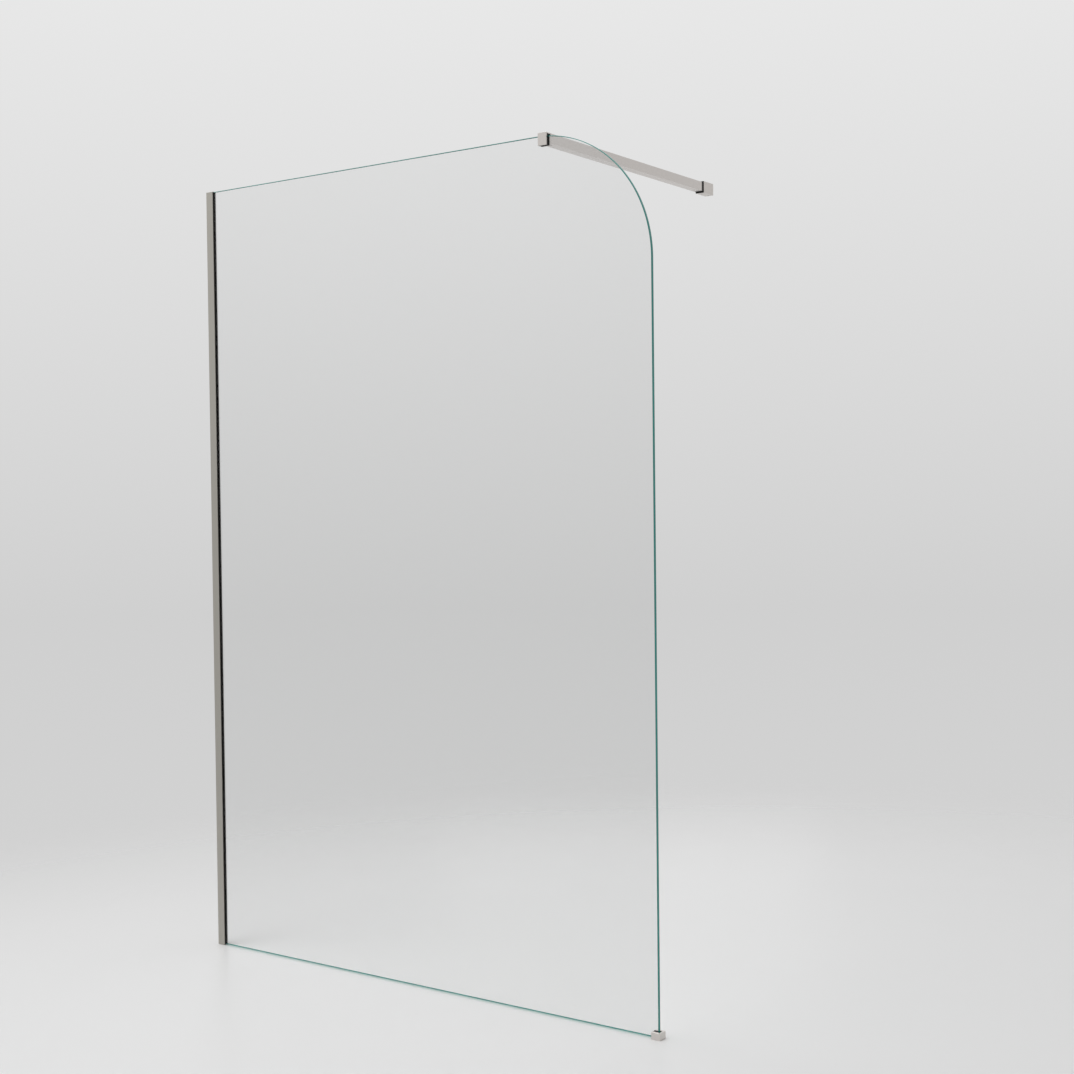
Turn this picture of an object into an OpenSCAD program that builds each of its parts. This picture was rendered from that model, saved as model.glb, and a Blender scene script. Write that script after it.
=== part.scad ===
// Walk-in shower screen: one fixed pane of clear toughened glass in a wall channel,
// a square support bar from the glass to the facing wall, and a small foot on the floor.
//
// X = 0 is the wall that carries the channel, and X runs along the glass to its free edge.
// Y = 0 is the middle of the glass thickness, and Y runs to the wall that carries the bar.
// Z = 0 is the floor.

/* [Glass] */
// Height of the top edge of the glass above the floor
glass_top = 2000; // [1700:10:2200]
// Width of the glass, from the edge inside the channel to the free edge
glass_w = 1354; // [900:2:1500]
// Thickness of the glass
glass_t = 8; // [6:1:10]
// Radius of the large corner at the top of the free edge
corner_r = 300; // [200:10:400]
// Radius of the other three corners
small_corner_r = 2; // [1:0.5:6]
// Gap between the glass and the floor, filled by what carries the glass
floor_gap = 2; // [2:0.5:6]

/* [Wall channel] */
// Depth of the channel, from the wall to its mouth
channel_depth = 23; // [20:1:35]
// Thickness of the two side walls of the channel
channel_side = 1.5; // [1:0.25:3]
// Thickness of the channel's back, which is screwed to the wall
channel_back = 2; // [1.5:0.25:4]
// How far the glass reaches into the channel
glass_insert = 13; // [12:0.5:14]
// Height of the small rib inside each mouth edge that holds the gasket
rib_h = 0.6; // [0.3:0.1:1]
// Width of that rib
rib_w = 1.2; // [0.8:0.1:2]
// Diameter of the fixing holes in the channel's back
channel_hole_d = 5.5; // [4:0.5:7]
// Distance of the outer fixing holes from the ends of the channel
channel_hole_end = 100; // [60:10:200]

/* [Gaskets] */
// Thickness of the black gasket on each side of the glass
gasket_t = 2.25; // [1.5:0.25:4]
// Length of gasket held inside the channel
gasket_grip = 16; // [10:1:17]
// How far the rounded lip of the gasket stands out of the channel
gasket_lip = 1.8; // [1.3:0.1:4]

/* [Packer] */
// Length of the packer under the glass inside the channel
packer_l = 18; // [15:1:18]

/* [Glass clamp] */
// Distance from the start of the large corner to the middle of the clamp, towards the free edge
arm_overrun = 20; // [-200:5:20]
// Thickness of the clamp's front and rear jaws
jaw_t = 3.5; // [3:0.5:6]
// Thickness of the clamp's bridge over the glass
bridge_t = 2.5; // [2:0.5:5]
// How far the jaws reach down over the glass
jaw_drop = 23; // [20:1:40]
// Thickness of the clamp's rubber liner beside the glass
liner_t = 3; // [1:0.5:4]
// Thickness of the rubber liner over the glass edge
liner_top_t = 3; // [1:0.5:4]
// Length of the spigot that the bar is pushed onto
spigot_l = 26; // [22:1:40]
// Width and height of the pressure plate behind the liner
plate_w = 15; // [12:1:18]
// Thickness of the pressure plates
plate_t = 1.5; // [1:0.25:2]
// Diameter of the screw that presses the plate
clamp_screw_d = 6; // [5:1:6]
// Length of that screw
clamp_screw_l = 16; // [12:1:18]

/* [Support bar] */
// Distance from the middle of the glass to the facing wall
reach = 765; // [500:5:1200]
// Width and height of the square bar
bar_size = 23; // [20:1:30]
// Wall thickness of the bar
bar_wall = 2; // [1:0.25:2.5]
// Depth of the bar's axis below the top edge of the glass
bar_axis_drop = 6.5; // [5.5:0.5:8]
// Length of the insert held inside the bar
insert_grip = 60; // [40:5:100]

/* [Wall fitting] */
// How far the wall socket stands above and below the bar
socket_rise = 3.5; // [2:0.5:8]
// Wall of the bush's plug on both sides of the insert
plug_wall = 0.9; // [0.6:0.1:3]
// Length of the wall socket
socket_l = 50.5; // [46:0.5:80]
// Wall thickness of the socket
socket_wall = 1.5; // [1:0.25:2]
// Length of the black collar between the bar and the socket
collar_l = 9; // [4:0.5:20]
// Thickness of the black flange on the mouth of the socket
flange_t = 1.5; // [1:0.25:3]
// Length of the bush inside the socket
bush_l = 20; // [16:1:22]
// Thickness of the anchor block on the wall
anchor_t = 12; // [10:1:14]
// Distance between the anchor's two screw holes
anchor_pitch = 14; // [12:0.5:15]
// Diameter of the anchor's screw holes
anchor_hole_d = 4.5; // [4:0.5:5]
// Diameter of the countersinks for the screw heads
anchor_head_d = 8.4; // [8:0.2:10]
// Room between the insert and the heads of the wall screws
head_room = 7; // [5:1:10]

/* [Small screws] */
// Diameter of the screws in the bar
bar_screw_d = 5; // [4:0.5:5]
// Diameter of the screws in the wall socket
socket_screw_d = 4; // [3:0.5:5]
// Distance of the front bar screw from the end of the spigot
front_screw_end = 8; // [5:1:12]
// Distance of the rear bar screw from the end of the bar
rear_screw_end = 20; // [8:1:30]
// How deep the screws reach into what they hold
seat_depth = 2.5; // [1.5:0.5:3]
// Width of the screws' hexagonal sockets, as a share of the screw's diameter
hex_share = 0.55; // [0.4:0.05:0.6]
// Chamfer on the screws' ends, as a share of the screw's diameter
chamfer_share = 0.1; // [0.05:0.01:0.15]

/* [Foot] */
// Length of the foot along the glass
foot_l = 23; // [20:1:40]
// Width of the foot across the glass
foot_w = 24; // [22:1:34]
// Height of the foot
foot_h = 16; // [14:1:30]
// Thickness of the metal under the liner
foot_base = 1; // [0.5:0.25:1.5]
// Thickness of the metal beyond the free edge of the glass
foot_end = 5; // [3:0.5:10]
// Thickness of the foot's liner beside the glass
foot_liner_t = 2; // [1:0.5:3]
// Thickness of the foot's liner at the free edge of the glass
foot_liner_end = 3; // [1:0.5:4]
// Width and height of the foot's pressure plate
foot_plate_w = 9; // [7:1:10]
// Diameter of the foot's screw
foot_screw_d = 5; // [4:0.5:5]

/* [Fits] */
// Gap around parts that slide into one another
slide_gap = 0.1; // [0.05:0.05:0.3]
// Gap around the threads of the screws
thread_gap = 0.05; // [0.02:0.01:0.15]
// How far the screws stay below the surface
screw_sink = 0.3; // [0.1:0.1:0.8]

/* [Hidden] */
$fn = 64;
// How far a cutting shape runs past the face it cuts, and a joined one into what carries it
overcut = 1;

nickel = "#b4afa9";
black_rubber = "#1c1a18";
black_nylon = "#201e1c";
clear_glass = "#bcd6d0";
screw_steel = "#8f8c88";
plain_steel = "#a4a29e";
grey_plastic = "#c9c9c6";

// Glass: both edges and both faces
half_glass = glass_t / 2;
glass_x0 = channel_depth - glass_insert;
glass_x1 = glass_x0 + glass_w;

// Channel: inside and outside half widths
channel_in = half_glass + gasket_t;
channel_out = channel_in + channel_side;
channel_hole_span = glass_top - 2 * channel_hole_end;

// Clamp: half widths from the glass outwards, and its heights
slot_half = half_glass + liner_t;
clamp_half = slot_half + jaw_t;
clamp_z0 = glass_top - jaw_drop;
slot_top = glass_top + liner_top_t;
clamp_z1 = slot_top + bridge_t;
arm_x = glass_x1 - corner_r + arm_overrun;
arm_z = glass_top - bar_axis_drop;

// Bar: bore and both ends
bar_bore = bar_size - 2 * bar_wall;
spigot_size = bar_bore - 2 * slide_gap;
socket_w = bar_bore + 2 * (plug_wall + slide_gap + socket_wall);
socket_h = bar_size + 2 * socket_rise;
socket_y0 = reach - socket_l;
flange_y0 = socket_y0 - flange_t;
bar_y0 = clamp_half;
bar_y1 = flange_y0 - collar_l;
insert_y0 = bar_y1 - insert_grip;
insert_y1 = reach - anchor_t - head_room;

// Screws from below: their places, and the undersides they pass
front_screw_y = bar_y0 + spigot_l - front_screw_end;
rear_screw_y = bar_y1 - rear_screw_end;
bush_screw_y = socket_y0 + bush_l / 2;
anchor_screw_y = reach - anchor_t / 2;
bar_bottom = arm_z - bar_size / 2;
socket_bottom = arm_z - socket_h / 2;
spigot_bottom = arm_z - spigot_size / 2;
// What fits inside the socket: the bush's plug and the anchor
plug_w = socket_w - 2 * (socket_wall + slide_gap);
plug_h = socket_h - 2 * (socket_wall + slide_gap);
anchor_bottom = arm_z - plug_h / 2;

// Foot: slot from the glass outwards
foot_slot_half = half_glass + foot_liner_t;
foot_slot_x1 = glass_x1 + foot_liner_end;
foot_x1 = foot_slot_x1 + foot_end;
foot_x0 = foot_x1 - foot_l;
foot_plate_x = (foot_x0 + foot_slot_x1) / 2;
foot_plate_z = foot_h / 2 + foot_base / 2;

// A block given by its lowest and highest corners
module block(low, high) {
    translate(low) cube(high - low);
}

// A block along Y on the bar's axis, centred in X and Z
module bar_block(width, height, y0, y1) {
    translate([arm_x - width / 2, y0, arm_z - height / 2])
        cube([width, y1 - y0, height]);
}

// A cylinder along Y
module y_cylinder(d, x, z, y0, y1) {
    translate([x, y0, z]) rotate([-90, 0, 0]) cylinder(d = d, h = y1 - y0);
}

// A headless screw standing on its open end, with a hexagonal socket in that end
module grub_screw(d, length) {
    socket_d = d * hex_share;
    chamfer = min(d * chamfer_share, length / 4);
    difference() {
        union() {
            cylinder(d1 = d - 2 * chamfer, d2 = d, h = chamfer);
            translate([0, 0, chamfer]) cylinder(d = d, h = length - 2 * chamfer);
            translate([0, 0, length - chamfer]) cylinder(d1 = d, d2 = d - 2 * chamfer, h = chamfer);
        }
        translate([0, 0, -overcut])
            cylinder(d = socket_d, h = overcut + min(d / 2, length / 2), $fn = 6);
    }
}

// Half of the channel's outline, on the -Y side
module channel_half() {
    rib_x = channel_depth - rib_w;
    translate([0, -channel_out]) square([channel_back, channel_out]);
    translate([0, -channel_out]) square([channel_depth, channel_side]);
    translate([rib_x, -channel_in]) square([rib_w, rib_h]);
}

// U channel on the wall, open at both ends, with four fixing holes in its back
module wall_channel() color(nickel) {
    difference() {
        linear_extrude(glass_top) {
            channel_half();
            mirror([0, 1]) channel_half();
        }
        for (step = [0:3])
            translate([-overcut, 0, channel_hole_end + step * channel_hole_span / 3])
                rotate([0, 90, 0]) cylinder(d = channel_hole_d, h = channel_back + 2 * overcut);
    }
}

// Gasket strip on the -Y side: flat on the glass, notched over the rib, with a rounded lip
module gasket_strip() {
    tip_r = gasket_t / 2;
    straight = gasket_grip + gasket_lip - tip_r;
    notch_x = channel_depth - rib_w - slide_gap;
    linear_extrude(glass_top - floor_gap)
        difference() {
            translate([channel_depth - gasket_grip, -channel_in]) {
                square([straight, gasket_t]);
                translate([straight, tip_r]) circle(r = tip_r);
            }
            translate([notch_x, -channel_in - overcut])
                square([rib_w + slide_gap, rib_h + slide_gap + overcut]);
        }
}

module front_gasket() color(black_rubber) {
    translate([0, 0, floor_gap]) gasket_strip();
}

module rear_gasket() color(black_rubber) {
    translate([0, 0, floor_gap]) mirror([0, 1, 0]) gasket_strip();
}

// Packer on the floor inside the channel, under the corner of the glass
module glass_packer() color(grey_plastic) {
    block([channel_depth - packer_l, -half_glass, 0], [channel_depth, half_glass, floor_gap]);
}

// A corner to be cut off a square outline: the square less its quarter disc
module corner_waste(r) {
    difference() {
        square(r + overcut);
        circle(r = r);
    }
}

// Outline of the glass in the X-Z plane
module glass_outline() {
    height = glass_top - floor_gap;
    inner_x = glass_w - small_corner_r;
    inner_z = height - small_corner_r;
    difference() {
        square([glass_w, height]);
        translate([glass_w - corner_r, height - corner_r]) corner_waste(corner_r);
        translate([inner_x, small_corner_r]) mirror([0, 1]) corner_waste(small_corner_r);
        translate([small_corner_r, inner_z]) mirror([1, 0]) corner_waste(small_corner_r);
        translate([small_corner_r, small_corner_r]) rotate(180) corner_waste(small_corner_r);
    }
}

module glass_panel() color(clear_glass, 0.35) {
    translate([glass_x0, half_glass, floor_gap])
        rotate([90, 0, 0]) linear_extrude(glass_t) glass_outline();
}

// Saddle over the glass edge, in one piece with the spigot for the bar
module clamp_body() color(nickel) {
    x0 = arm_x - bar_size / 2;
    x1 = arm_x + bar_size / 2;
    pocket = plate_w + 2 * slide_gap;
    difference() {
        union() {
            block([x0, -clamp_half, clamp_z0], [x1, clamp_half, clamp_z1]);
            bar_block(spigot_size, spigot_size, bar_y0 - overcut, bar_y0 + spigot_l);
        }
        block([x0 - overcut, -slot_half, clamp_z0 - overcut], [x1 + overcut, slot_half, slot_top]);
        bar_block(pocket, pocket, slot_half - overcut, slot_half + plate_t);
        y_cylinder(clamp_screw_d + 2 * thread_gap, arm_x, arm_z,
                   slot_half, bar_y0 + spigot_l + overcut);
        translate([arm_x, front_screw_y, spigot_bottom - overcut])
            cylinder(d = bar_screw_d + 2 * thread_gap, h = seat_depth + overcut);
    }
}

// Rubber liner: a U around the top edge of the glass
module clamp_liner() color(black_rubber) {
    x0 = arm_x - bar_size / 2;
    x1 = arm_x + bar_size / 2;
    difference() {
        block([x0, -slot_half, clamp_z0], [x1, slot_half, slot_top]);
        block([x0 - overcut, -half_glass, clamp_z0 - overcut], [x1 + overcut, half_glass, glass_top]);
    }
}

// Steel plate that spreads the screw's pressure over the liner
module clamp_plate() color(plain_steel) {
    bar_block(plate_w, plate_w, slot_half, slot_half + plate_t);
}

module clamp_screw() color(screw_steel) {
    screw_y = slot_half + plate_t;
    translate([arm_x, screw_y + clamp_screw_l, arm_z])
        rotate([90, 0, 0]) grub_screw(clamp_screw_d, clamp_screw_l);
}

// Square tube from the clamp to the collar
module support_bar() color(nickel) {
    difference() {
        bar_block(bar_size, bar_size, bar_y0, bar_y1);
        bar_block(bar_bore, bar_bore, bar_y0 - overcut, bar_y1 + overcut);
        for (y = [front_screw_y, rear_screw_y])
            translate([arm_x, y, bar_bottom - overcut])
                cylinder(d = bar_screw_d + 2 * thread_gap, h = bar_wall + 2 * overcut);
    }
}

// Screw through the bar's lower wall into a seat in the spigot
module bar_front_screw() color(screw_steel) {
    length = spigot_bottom + seat_depth - bar_bottom - screw_sink;
    translate([arm_x, front_screw_y, bar_bottom + screw_sink])
        grub_screw(bar_screw_d, length);
}

// Screw through the bar's lower wall that stops just short of the insert
module bar_rear_screw() color(screw_steel) {
    length = bar_wall - screw_sink;
    translate([arm_x, rear_screw_y, bar_bottom + screw_sink])
        grub_screw(bar_screw_d, length);
}

// Square insert that slides in the bar and joins it to the wall fitting
module bar_insert() color(plain_steel) {
    difference() {
        bar_block(spigot_size, spigot_size, insert_y0, insert_y1);
        translate([arm_x, bush_screw_y, spigot_bottom - overcut])
            cylinder(d = socket_screw_d + 2 * thread_gap, h = seat_depth + overcut);
    }
}

// Black nylon bush: collar in line with the bar, flange on the socket's mouth, plug inside it
module socket_bush() color(black_nylon) {
    difference() {
        union() {
            bar_block(bar_size, bar_size, bar_y1, flange_y0);
            bar_block(socket_w, socket_h, flange_y0, socket_y0);
            bar_block(plug_w, plug_h, socket_y0, socket_y0 + bush_l);
        }
        bar_block(bar_bore, bar_bore, bar_y1 - overcut, socket_y0 + bush_l + overcut);
        translate([arm_x, bush_screw_y, socket_bottom])
            cylinder(d = socket_screw_d + 2 * thread_gap, h = socket_h / 2);
    }
}

// Rectangular sleeve that hides the bush and the anchor
module wall_socket() color(nickel) {
    inner_w = socket_w - 2 * socket_wall;
    inner_h = socket_h - 2 * socket_wall;
    difference() {
        bar_block(socket_w, socket_h, socket_y0, reach);
        bar_block(inner_w, inner_h, socket_y0 - overcut, reach + overcut);
        for (y = [bush_screw_y, anchor_screw_y])
            translate([arm_x, y, socket_bottom - overcut])
                cylinder(d = socket_screw_d + 2 * thread_gap, h = socket_wall + 2 * overcut);
    }
}

// Solid block screwed to the wall, which the socket slides over
module wall_anchor() color(plain_steel) {
    anchor_y0 = reach - anchor_t;
    sink = (anchor_head_d - anchor_hole_d) / 2;
    difference() {
        bar_block(plug_w, plug_h, anchor_y0, reach);
        for (side = [-1, 1])
            translate([arm_x, anchor_y0, arm_z + side * anchor_pitch / 2]) rotate([-90, 0, 0]) {
                translate([0, 0, -overcut]) cylinder(d = anchor_hole_d, h = anchor_t + 2 * overcut);
                cylinder(d1 = anchor_head_d, d2 = anchor_hole_d, h = sink);
            }
        translate([arm_x, anchor_screw_y, anchor_bottom - overcut])
            cylinder(d = socket_screw_d + 2 * thread_gap, h = seat_depth + overcut);
    }
}

// Screw through the socket and the bush into a seat in the insert
module bush_screw() color(screw_steel) {
    length = spigot_bottom + seat_depth - socket_bottom - screw_sink;
    translate([arm_x, bush_screw_y, socket_bottom + screw_sink])
        grub_screw(socket_screw_d, length);
}

// Screw through the socket into a seat in the anchor
module anchor_screw() color(screw_steel) {
    length = anchor_bottom + seat_depth - socket_bottom - screw_sink;
    translate([arm_x, anchor_screw_y, socket_bottom + screw_sink])
        grub_screw(socket_screw_d, length);
}

// Foot: a block with a blind slot for the lower free corner of the glass
module foot_body() color(nickel) {
    pocket = foot_plate_w / 2 + slide_gap;
    difference() {
        block([foot_x0, -foot_w / 2, 0], [foot_x1, foot_w / 2, foot_h]);
        block([foot_x0 - overcut, -foot_slot_half, foot_base],
              [foot_slot_x1, foot_slot_half, foot_h + overcut]);
        block([foot_plate_x - pocket, foot_slot_half - overcut, foot_plate_z - pocket],
              [foot_plate_x + pocket, foot_slot_half + plate_t, foot_plate_z + pocket]);
        y_cylinder(foot_screw_d + 2 * thread_gap, foot_plate_x, foot_plate_z,
                   foot_slot_half, foot_w / 2 + overcut);
    }
}

// Rubber liner under, beside and at the end of the glass
module foot_liner() color(black_rubber) {
    difference() {
        block([foot_x0, -foot_slot_half, foot_base], [foot_slot_x1, foot_slot_half, foot_h]);
        block([foot_x0 - overcut, -half_glass, floor_gap], [glass_x1, half_glass, foot_h + overcut]);
    }
}

module foot_plate() color(plain_steel) {
    half = foot_plate_w / 2;
    block([foot_plate_x - half, foot_slot_half, foot_plate_z - half],
          [foot_plate_x + half, foot_slot_half + plate_t, foot_plate_z + half]);
}

module foot_screw() color(screw_steel) {
    screw_y0 = foot_slot_half + plate_t;
    screw_y1 = foot_w / 2 - screw_sink;
    translate([foot_plate_x, screw_y1, foot_plate_z])
        rotate([90, 0, 0]) grub_screw(foot_screw_d, screw_y1 - screw_y0);
}

wall_channel();
front_gasket();
rear_gasket();
glass_packer();
glass_panel();
clamp_body();
clamp_liner();
clamp_plate();
clamp_screw();
support_bar();
bar_front_screw();
bar_rear_screw();
bar_insert();
socket_bush();
wall_socket();
wall_anchor();
bush_screw();
anchor_screw();
foot_body();
foot_liner();
foot_plate();
foot_screw();
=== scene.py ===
import math

import bmesh
import bpy
import numpy as np
from mathutils import Matrix, Vector


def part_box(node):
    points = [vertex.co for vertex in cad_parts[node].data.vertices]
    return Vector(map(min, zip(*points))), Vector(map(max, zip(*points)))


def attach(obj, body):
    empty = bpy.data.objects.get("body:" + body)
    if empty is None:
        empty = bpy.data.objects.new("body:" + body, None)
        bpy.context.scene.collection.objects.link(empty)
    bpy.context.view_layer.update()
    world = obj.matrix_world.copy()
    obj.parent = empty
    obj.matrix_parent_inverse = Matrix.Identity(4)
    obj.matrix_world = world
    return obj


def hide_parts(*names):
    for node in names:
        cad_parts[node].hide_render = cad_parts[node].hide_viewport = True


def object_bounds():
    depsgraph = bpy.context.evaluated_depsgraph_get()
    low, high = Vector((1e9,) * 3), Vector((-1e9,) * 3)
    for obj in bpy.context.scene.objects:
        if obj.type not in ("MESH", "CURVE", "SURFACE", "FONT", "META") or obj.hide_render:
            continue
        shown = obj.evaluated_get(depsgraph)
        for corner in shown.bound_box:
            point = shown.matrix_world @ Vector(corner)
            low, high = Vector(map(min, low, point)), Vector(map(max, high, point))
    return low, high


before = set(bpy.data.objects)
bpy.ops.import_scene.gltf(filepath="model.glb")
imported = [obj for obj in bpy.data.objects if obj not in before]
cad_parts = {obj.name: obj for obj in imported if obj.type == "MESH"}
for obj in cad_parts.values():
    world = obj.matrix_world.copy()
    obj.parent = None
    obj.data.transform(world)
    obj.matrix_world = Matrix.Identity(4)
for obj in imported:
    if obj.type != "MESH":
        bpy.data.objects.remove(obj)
cad_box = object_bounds()

# Camera
# It stands outside the shower, a little above the middle of the glass, at the photograph's viewing angle.
# The place, the turns and the lens were fitted to the straight edges of the screen.
photo_side = 1074
focal_pixels = 1576.908
sensor_width = 36.0
eye = Vector((3.117565, -2.941407, 1.186687))
turn, tilt, roll = np.radians([35.09015, -1.461827, -0.640237])

ahead = Vector((-math.sin(turn) * math.cos(tilt), math.cos(turn) * math.cos(tilt), math.sin(tilt)))
level_right = ahead.cross(Vector((0, 0, 1))).normalized()
level_up = level_right.cross(ahead)
right = math.cos(roll) * level_right + math.sin(roll) * level_up
up = math.cos(roll) * level_up - math.sin(roll) * level_right

camera_data = bpy.data.cameras.new("camera")
camera_data.sensor_width = sensor_width
camera_data.lens = focal_pixels / photo_side * sensor_width
camera = bpy.data.objects.new("camera", camera_data)
bpy.context.collection.objects.link(camera)
placing = Matrix((right, up, -ahead)).transposed().to_4x4()
placing.translation = eye
camera.matrix_world = placing
bpy.context.scene.camera = camera
bpy.context.scene.view_settings.view_transform = "Standard"


# Floor
# A pale, slightly glossy floor that keeps the screen's shadow and fades into the background far out.
# It lies a hair below the channel and the foot.
class Signal:
    """A socket that carries a number. Arithmetic on it adds Math nodes to its tree."""

    def __init__(self, tree, socket):
        self.tree = tree
        self.socket = socket

    def __add__(self, other):
        return self.tree.math("ADD", self, other)

    def __mul__(self, other):
        return self.tree.math("MULTIPLY", self, other)

    def __sub__(self, other):
        return self.tree.math("SUBTRACT", self, other)

    def __rsub__(self, other):
        return self.tree.math("SUBTRACT", other, self)


class Tree:
    """The node tree of a material or of the world."""

    def __init__(self, owner):
        owner.use_nodes = True
        self.links = owner.node_tree.links
        self.nodes = owner.node_tree.nodes
        self.nodes.clear()

    def node(self, kind, settings, sockets, output=0):
        """Adds one node: its settings first, then the values or links of its sockets."""
        made = self.nodes.new(kind)
        for name, value in settings.items():
            setattr(made, name, value)
        for name, value in sockets.items():
            if isinstance(value, Signal):
                self.links.new(value.socket, made.inputs[name])
            elif isinstance(value, tuple) and len(value) == 3 and made.inputs[name].type == "RGBA":
                made.inputs[name].default_value = (*value, 1)
            else:
                made.inputs[name].default_value = value
        return Signal(self, made.outputs[output]) if made.outputs else None

    def math(self, operation, first, second):
        return self.node("ShaderNodeMath", {"operation": operation}, {0: first, 1: second})

    def vector_math(self, operation, first, second):
        """One number from two vectors, such as their distance or dot product."""
        return self.node("ShaderNodeVectorMath", {"operation": operation}, {0: first, 1: second}, "Value")

    def ray(self, kind):
        """1 for light rays of this kind and 0 for all others."""
        return self.node("ShaderNodeLightPath", {}, {}, kind)

    def point(self):
        """The object coordinates of the surface, in metres."""
        return self.node("ShaderNodeTexCoord", {}, {}, "Object")

    def noise(self, stretch, detail=3.0):
        """Noise from 0 to 1. The stretch is its cells in a metre: one number, or one for each axis."""
        scale = stretch if isinstance(stretch, tuple) else (stretch, stretch, stretch)
        place = self.node("ShaderNodeMapping", {}, {"Vector": self.point(), "Scale": scale})
        return self.node("ShaderNodeTexNoise", {}, {"Vector": place, "Scale": 1.0, "Detail": detail})

    def blend(self, amount, low, high):
        """One colour turning into another as the amount goes from 0 to 1."""
        made = self.node("ShaderNodeValToRGB", {}, {"Fac": amount})
        start, end = made.socket.node.color_ramp.elements
        start.color = (*low, 1)
        end.color = (*high, 1)
        return made

    def bump(self, height, depth):
        """A normal from a height, with the depth in metres."""
        return self.node("ShaderNodeBump", {}, {"Height": height, "Distance": depth, "Strength": 1.0})

    def shader(self, sockets):
        return self.node("ShaderNodeBsdfPrincipled", {}, sockets)

    def clear(self, colour):
        return self.node("ShaderNodeBsdfTransparent", {}, {"Color": colour})

    def mix(self, amount, first, second):
        """The first shader at 0, turning into the second at 1."""
        return self.node("ShaderNodeMixShader", {}, {0: amount, 1: first, 2: second})

    def finish(self, surface):
        self.node("ShaderNodeOutputMaterial", {}, {"Surface": surface})


def new_mesh(name, points, faces):
    """A mesh from whole arrays of points and faces, linked to the scene as an object at the origin."""
    mesh = bpy.data.meshes.new(name)
    mesh.from_pydata(points.tolist(), [], faces)
    mesh.update()
    made = bpy.data.objects.new(name, mesh)
    bpy.context.collection.objects.link(made)
    return made


floor_colour = (0.815, 0.815, 0.815)
floor_radius = 4.1
fade_from = 2.25
fade_to = 4.0
floor_drop = 0.0004
floor_middle = Vector((2.1, -0.5, 0))


def disc(middle, radius, height, rings=12, spokes=96):
    """A flat disc on a grid of angle and radius: each ring's radius grows evenly from near nothing."""
    angle = np.linspace(0, 2 * np.pi, spokes, endpoint=False)
    reach = np.linspace(radius / rings, radius, rings)[:, None]
    x = middle[0] + reach * np.cos(angle)
    y = middle[1] + reach * np.sin(angle)
    grid = np.stack([x, y, np.full_like(x, height)], -1).reshape(-1, 3)
    ring, spoke = np.meshgrid(np.arange(rings - 1), np.arange(spokes), indexing="ij")
    after = (spoke + 1) % spokes
    here = ring * spokes
    quads = np.stack([here + spoke, here + spokes + spoke, here + spokes + after, here + after], -1)
    return grid, quads.reshape(-1, 4).tolist() + [list(range(spokes))]


def floor_material():
    """Pale paint whose gloss changes slowly from place to place, and which is clear beyond the fade."""
    patch_stretch = 3.0
    patch_roughness = 0.06
    least_roughness = 0.30
    shine = 0.25
    made = bpy.data.materials.new("pale_floor")
    tree = Tree(made)
    rough = tree.noise(patch_stretch) * patch_roughness + least_roughness
    paint = tree.shader({"Base Color": floor_colour, "Roughness": rough, "Specular IOR Level": shine})
    away = tree.vector_math("DISTANCE", tree.point(), tuple(floor_middle))
    span = {"Value": away, "From Min": fade_from, "From Max": fade_to}
    faded = tree.node("ShaderNodeMapRange", {"interpolation_type": "SMOOTHSTEP"}, span)
    tree.finish(tree.mix(faded, paint, tree.clear((1.0, 1.0, 1.0))))
    return made


floor = new_mesh("floor", *disc(floor_middle, floor_radius, -floor_drop))
floor.data.materials.append(floor_material())

# Studio light
# A pale surround, a large soft lamp overhead and two weak ones far behind. Metal and glass see the
# surround that the camera sees, and matt surfaces get its weaker light. The low lamp behind shows in
# the underside of the bar.
background_dark = (0.630, 0.630, 0.630)
background_pale = (0.95, 0.95, 0.95)
dark_height = -0.07
rise_above = 1.5
rise_below = 0.3
glow_towards = Vector((-0.62, -0.72, 0.30)).normalized()
glow_tightness = 45.0
glow_strength = 0.45
fill_strength = 0.62
centre = (Vector(cad_box[0]) + Vector(cad_box[1])) / 2


def surround():
    """The surround is darkest just below the horizon and turns paler above and below. At the front left
    it glows: the cosine of the angle to the glow's direction, raised to a power."""
    world = bpy.data.worlds.new("surround")
    bpy.context.scene.world = world
    tree = Tree(world)
    direction = tree.node("ShaderNodeTexCoord", {}, {}, "Generated")
    height = tree.node("ShaderNodeSeparateXYZ", {}, {"Vector": direction}, "Z")
    above = (height - dark_height) * rise_above
    below = (dark_height - height) * rise_below
    tone = tree.blend(tree.math("MAXIMUM", above, below), background_dark, background_pale)
    cosine = tree.vector_math("DOT_PRODUCT", direction, tuple(glow_towards))
    glow = tree.math("POWER", tree.math("MAXIMUM", cosine, 0.0), glow_tightness)
    seen = tree.math("MAXIMUM", tree.ray("Is Camera Ray"), tree.ray("Is Glossy Ray"))
    seen = tree.math("MAXIMUM", seen, tree.ray("Is Transmission Ray"))
    strength = (seen * (1 - fill_strength) + fill_strength) * (glow * glow_strength + 1)
    light = tree.node("ShaderNodeBackground", {}, {"Color": tone, "Strength": strength})
    tree.node("ShaderNodeOutputWorld", {}, {"Surface": light})


def lamp(name, spot, side, watts):
    """A square area lamp that faces the middle of the screen. It isn't seen itself, nor through glass."""
    data = bpy.data.lights.new(name, "AREA")
    data.size = side
    data.energy = watts
    made = bpy.data.objects.new(name, data)
    made.location = spot
    made.rotation_mode = "QUATERNION"
    made.rotation_quaternion = (centre - Vector(spot)).to_track_quat("-Z", "Y")
    made.visible_camera = False
    made.visible_transmission = False
    bpy.context.collection.objects.link(made)


surround()
lamp("key_lamp", spot=(-1.0, -2.5, 7.5), side=3.5, watts=225)
lamp("side_lamp", spot=(3.2, 6.0, 3.0), side=2.2, watts=2)
lamp("low_lamp", spot=(-2.2, 5.6, 0.7), side=2.4, watts=5)

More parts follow.
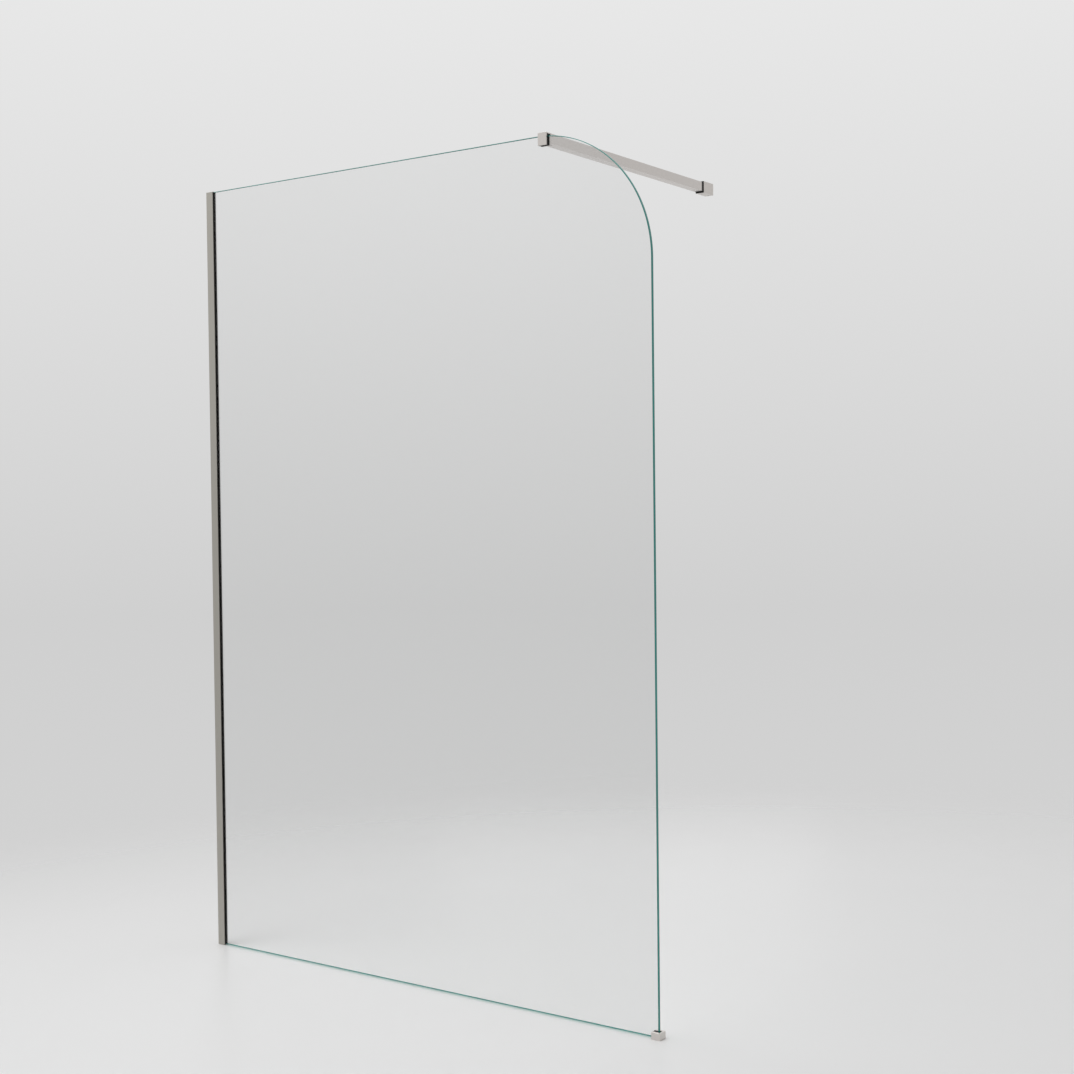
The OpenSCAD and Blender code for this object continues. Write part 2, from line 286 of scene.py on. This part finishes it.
# Wall channel
# A brushed nickel U profile, drawn in one length and screwed to the wall through its back.
# Its edges are broken by a fraction of a millimetre and its grain runs along it.
# The channel's nickel is set darker than the bar's and the fittings': painted shade for the darker
# surroundings that it reflects.
channel_colour_painted_shade = (0.47, 0.452, 0.410)
channel_edge = 0.00025
drawn_across = 2600.0
drawn_along = 9.0
drawn_roughness = 0.26
same_place = 0.000005
flat_angle = math.radians(0.5)
shading_angle = math.radians(30)
sharp_angle = math.radians(40)


def scaled(colour, share):
    """A colour with each of its parts multiplied by the share."""
    return tuple(share * part for part in colour)


def brushed_nickel(name, colour, stretch, roughness):
    """Nickel with fine lines drawn out along one axis, slow changes of tone and faint handling marks."""
    cloud_stretch = 6.0
    dark_share = 0.86
    line_share = 0.6
    line_roughness = 0.12
    cloud_roughness = 0.08
    line_depth = 0.00003
    made = bpy.data.materials.new(name)
    tree = Tree(made)
    line = tree.noise(stretch, detail=4.0)
    cloud = tree.noise(cloud_stretch, detail=2.0)
    mixture = line * line_share + cloud * (1 - line_share)
    sockets = {
        "Base Color": tree.blend(mixture, scaled(colour, dark_share), colour),
        "Metallic": 1.0,
        "Roughness": line * line_roughness + cloud * cloud_roughness + roughness,
        "Normal": tree.bump(line, line_depth),
    }
    tree.finish(tree.shader(sockets))
    return made


def weigh_edges(shape, box, share):
    """Sharp edges above the sole where two faces of the box meet round off fully, other sharp ones less."""
    low, high = box
    weight = shape.edges.layers.float.new("bevel_weight_edge")
    for line in shape.edges:
        middle = (line.verts[0].co + line.verts[1].co) / 2
        gaps = [min(middle[k] - low[k], high[k] - middle[k]) for k in range(3)]
        outer = sum(gap < same_place for gap in gaps) >= 2 and middle.z - low.z > same_place
        if line.calc_face_angle(0) > sharp_angle:
            line[weight] = 1.0 if outer else share


def softened(node, edge, material, body, segments=3, outer_edge=None):
    """A copy of a CAD node with its triangles merged, its flat faces joined and its sharp edges rounded
    by the edge's width. Where an outer edge is given, the node's outermost edges are rounded by that."""
    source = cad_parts[node]
    mesh = source.data.copy()
    mesh.name = node + "_finished"
    shape = bmesh.new()
    shape.from_mesh(mesh)
    bmesh.ops.remove_doubles(shape, verts=shape.verts, dist=same_place)
    bmesh.ops.dissolve_limit(shape, angle_limit=flat_angle, verts=shape.verts, edges=shape.edges)
    if outer_edge:
        weigh_edges(shape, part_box(node), edge / outer_edge)
    shape.to_mesh(mesh)
    shape.free()
    mesh.shade_smooth()
    mesh.set_sharp_from_angle(angle=shading_angle)
    mesh.materials.clear()
    mesh.materials.append(material)
    made = bpy.data.objects.new(node + "_finished", mesh)
    bpy.context.collection.objects.link(made)
    rounding = made.modifiers.new("rounded_edges", "BEVEL")
    rounding.width = outer_edge or edge
    rounding.segments = segments
    rounding.limit_method = "WEIGHT" if outer_edge else "ANGLE"
    rounding.angle_limit = sharp_angle
    rounding.harden_normals = True
    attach(made, body)
    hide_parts(node)


channel_grain = (drawn_across, drawn_across, drawn_along)
channel_nickel_painted_shade = brushed_nickel("channel_nickel_painted_shade", channel_colour_painted_shade, channel_grain, drawn_roughness)
softened("wall_channel", channel_edge, channel_nickel_painted_shade, "channel")

# Gaskets
# Two black rubber strips pressed in between the channel and the glass, with a rounded lip outside.
# They are extruded, so their skin is matt with faint lines along them.
rubber_colour = (0.006, 0.0055, 0.005)
gasket_edge = 0.00015
gasket_grain = (3000.0, 3000.0, 40.0)


def black_matt(name, colour, stretch, roughness):
    """Black with fine grain, a little paler and duller where dust has settled."""
    dust_stretch = 14.0
    dust_share = 2.2
    dust_roughness = 0.1
    grain_roughness = 0.15
    grain_depth = 0.00005
    shine = 0.25
    made = bpy.data.materials.new(name)
    tree = Tree(made)
    grain = tree.noise(stretch)
    dust = tree.noise(dust_stretch, detail=2.0)
    sockets = {
        "Base Color": tree.blend(dust, colour, scaled(colour, dust_share)),
        "Roughness": grain * grain_roughness + dust * dust_roughness + roughness,
        "Normal": tree.bump(grain, grain_depth),
        "Specular IOR Level": shine,
    }
    tree.finish(tree.shader(sockets))
    return made


gasket_rubber = black_matt("gasket_rubber", rubber_colour, gasket_grain, roughness=0.5)
for strip in ("front_gasket", "rear_gasket"):
    softened(strip, gasket_edge, gasket_rubber, "channel", segments=2)

# Glass packer
# A small plastic block that carries the glass on the floor inside the channel.
# It is moulded in grey and hardly seen.
packer_colour = (0.50, 0.50, 0.49)
packer_edge = 0.0002


def moulded_grey():
    """Grey plastic with the fine grain of its mould."""
    grain_stretch = 1500.0
    dark_share = 0.9
    grain_roughness = 0.1
    least_roughness = 0.45
    grain_depth = 0.00004
    made = bpy.data.materials.new("packer_plastic")
    tree = Tree(made)
    grain = tree.noise(grain_stretch)
    sockets = {
        "Base Color": tree.blend(grain, scaled(packer_colour, dark_share), packer_colour),
        "Roughness": grain * grain_roughness + least_roughness,
        "Normal": tree.bump(grain, grain_depth),
    }
    tree.finish(tree.shader(sockets))
    return made


softened("glass_packer", packer_edge, moulded_grey(), "channel", segments=2)

# Glass pane
# Clear toughened glass, cut with one large corner, its edges ground flat with a narrow arris and polished.
# Seen edge on it is green, because light travels far through it there.
corner_radius = 0.300
corner_steps = 96
small_radius = 0.002
small_steps = 6
arris = 0.0015
face_tint = (0.908, 0.912, 0.911)
edge_light = (0.032, 0.330, 0.290)
edge_dark = (0.010, 0.165, 0.140)
edge_through = (0.28, 0.52, 0.47)
glass_bend = 1.52


def pane(low, high):
    """A closed pane: each outline point lies on the arc of its corner at an angle and a radius, and the
    edge's profile of depth and inset is carried round the outline, with each inset taken off the radius.
    The two large faces come last."""
    radii = np.array([corner_radius, small_radius, small_radius, small_radius])
    steps = [corner_steps, small_steps, small_steps, small_steps]
    reach = np.array([[-1, -1], [1, -1], [1, 1], [-1, 1]])
    corners = np.array([[high.x, high.z], [low.x, high.z], [low.x, low.z], [high.x, low.z]])
    centres = corners + reach * radii[:, None]
    angle = np.concatenate([np.linspace(k, k + 1, n + 1) * np.pi / 2 for k, n in enumerate(steps)])
    owner = np.repeat(np.arange(len(steps)), [n + 1 for n in steps])
    depth = np.array([low.y, low.y + arris, high.y - arris, high.y])
    inset = np.array([arris, 0, 0, arris])
    radius = radii[owner] - inset[:, None]
    x = centres[owner, 0] + radius * np.cos(angle)
    z = centres[owner, 1] + radius * np.sin(angle)
    y = np.broadcast_to(depth[:, None], x.shape)
    points = np.stack([x, y, z], -1).reshape(-1, 3)
    rings, count = x.shape
    ring, spot = np.meshgrid(np.arange(rings - 1), np.arange(count), indexing="ij")
    after = (spot + 1) % count
    here = ring * count
    quads = np.stack([here + spot, here + count + spot, here + count + after, here + after], -1)
    front = list(range(count))
    back = list(range((rings - 1) * count, rings * count))
    return points, quads.reshape(-1, 4).tolist() + [front, back[::-1]]


def clear_glass():
    """Glass that lets lamps through, with the faint slow wave that toughening leaves."""
    wave_stretch = (3.0, 3.0, 9.0)
    wave_depth = 0.00002
    made = bpy.data.materials.new("clear_glass")
    tree = Tree(made)
    sockets = {
        "Base Color": face_tint,
        "Roughness": 0.0,
        "IOR": glass_bend,
        "Transmission Weight": 1.0,
        "Normal": tree.bump(tree.noise(wave_stretch, detail=1.0), wave_depth),
    }
    tree.finish(tree.mix(tree.ray("Is Shadow Ray"), tree.shader(sockets), tree.clear(face_tint)))
    return made


def green_edge():
    """Polished edge: deep green with slow changes and fine grinding lines under a clear gloss. Lamps and
    the light of matt surfaces pass through it."""
    slow_stretch = 7.0
    slow_share = 0.7
    grind_stretch = (900.0, 2500.0, 900.0)
    grind_roughness = 0.10
    least_roughness = 0.08
    grind_depth = 0.00001
    made = bpy.data.materials.new("glass_edge")
    tree = Tree(made)
    slow = tree.noise(slow_stretch, detail=2.0)
    grind = tree.noise(grind_stretch)
    mixture = slow * slow_share + grind * (1 - slow_share)
    sockets = {
        "Base Color": tree.blend(mixture, edge_dark, edge_light),
        "Roughness": grind * grind_roughness + least_roughness,
        "IOR": glass_bend,
        "Normal": tree.bump(grind, grind_depth),
    }
    passing = tree.math("MAXIMUM", tree.ray("Is Shadow Ray"), tree.ray("Is Diffuse Ray"))
    tree.finish(tree.mix(passing, tree.shader(sockets), tree.clear(edge_through)))
    return made


glass = new_mesh("glass_pane", *pane(*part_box("glass_panel")))
glass.data.materials.append(green_edge())
glass.data.materials.append(clear_glass())
slots = np.zeros(len(glass.data.polygons), np.int32)
slots[-2:] = 1
glass.data.polygons.foreach_set("material_index", slots)
glass.data.shade_smooth()
glass.data.set_sharp_from_angle(angle=shading_angle)
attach(glass, "glass")
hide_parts("glass_panel")

# Glass clamp
# A satin nickel saddle machined from one block, with a black rubber liner round the glass.
# A plate and a headless screw inside it press the liner against the glass.
fitting_colour = (0.645, 0.61, 0.58)
fitting_edge = 0.0003
fitting_across = 2200.0
fitting_along = 60.0
fitting_roughness = 0.28
fitting_grain = (fitting_across, fitting_along, fitting_across)
fitting_nickel = brushed_nickel("fitting_nickel", fitting_colour, fitting_grain, fitting_roughness)
liner_edge = 0.0002
liner_grain = 1800.0
liner_rubber = black_matt("liner_rubber", rubber_colour, liner_grain, roughness=0.52)


def machined_steel(name, colour):
    """Bare machined metal with fine cutting marks all over."""
    mark_stretch = 1600.0
    dark_share = 0.8
    mark_roughness = 0.2
    least_roughness = 0.28
    mark_depth = 0.00002
    made = bpy.data.materials.new(name)
    tree = Tree(made)
    marks = tree.noise(mark_stretch, detail=4.0)
    sockets = {
        "Base Color": tree.blend(marks, scaled(colour, dark_share), colour),
        "Metallic": 1.0,
        "Roughness": marks * mark_roughness + least_roughness,
        "Normal": tree.bump(marks, mark_depth),
    }
    tree.finish(tree.shader(sockets))
    return made


plain_steel = machined_steel("plain_steel", colour=(0.56, 0.56, 0.55))
screw_steel = machined_steel("screw_steel", colour=(0.46, 0.45, 0.44))
softened("clamp_body", fitting_edge, fitting_nickel, "arm")
softened("clamp_liner", liner_edge, liner_rubber, "arm", segments=2)


def refinish(node, material):
    """Gives a CAD node that stays as it is a better material."""
    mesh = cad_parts[node].data
    mesh.materials.clear()
    mesh.materials.append(material)


refinish("clamp_plate", plain_steel)
refinish("clamp_screw", screw_steel)

# Support bar
# A square nickel tube pushed over the clamp's spigot, with its grain along it.
# Two headless screws from below hold the spigot and the insert.
bar_colour = (0.64, 0.605, 0.58)
bar_edge = 0.0004
bar_grain = (drawn_across, drawn_along, drawn_across)
bar_nickel = brushed_nickel("bar_nickel", bar_colour, bar_grain, drawn_roughness)
softened("support_bar", bar_edge, bar_nickel, "arm")
for screw in ("bar_front_screw", "bar_rear_screw"):
    refinish(screw, screw_steel)

# Wall fitting
# A nickel sleeve on the facing wall, slid over an anchor block, with a black nylon bush in its mouth.
# A square insert runs through the bush into the bar.
nylon_colour = (0.014, 0.013, 0.012)
bush_edge = 0.0002
bush_grain = 900.0
bush_nylon = black_matt("bush_nylon", nylon_colour, bush_grain, roughness=0.42)
softened("wall_socket", fitting_edge, fitting_nickel, "wall_end")
softened("socket_bush", bush_edge, bush_nylon, "wall_end", segments=2)
for hidden in ("bar_insert", "wall_anchor"):
    refinish(hidden, plain_steel)
for screw in ("bush_screw", "anchor_screw"):
    refinish(screw, screw_steel)

# Foot
# A small nickel block with rounded corners under the free corner of the glass, blind at its outer end,
# with a rubber liner. A plate and a screw on its inner side hold it on the glass.
foot_colour = (0.735, 0.695, 0.665)
foot_corner = 0.0016
foot_segments = 4
foot_grain = (fitting_along, fitting_across, fitting_across)
foot_nickel = brushed_nickel("foot_nickel", foot_colour, foot_grain, fitting_roughness)
softened("foot_body", fitting_edge, foot_nickel, "glass", foot_segments, foot_corner)
softened("foot_liner", liner_edge, liner_rubber, "glass", segments=2)
refinish("foot_plate", plain_steel)
refinish("foot_screw", screw_steel)
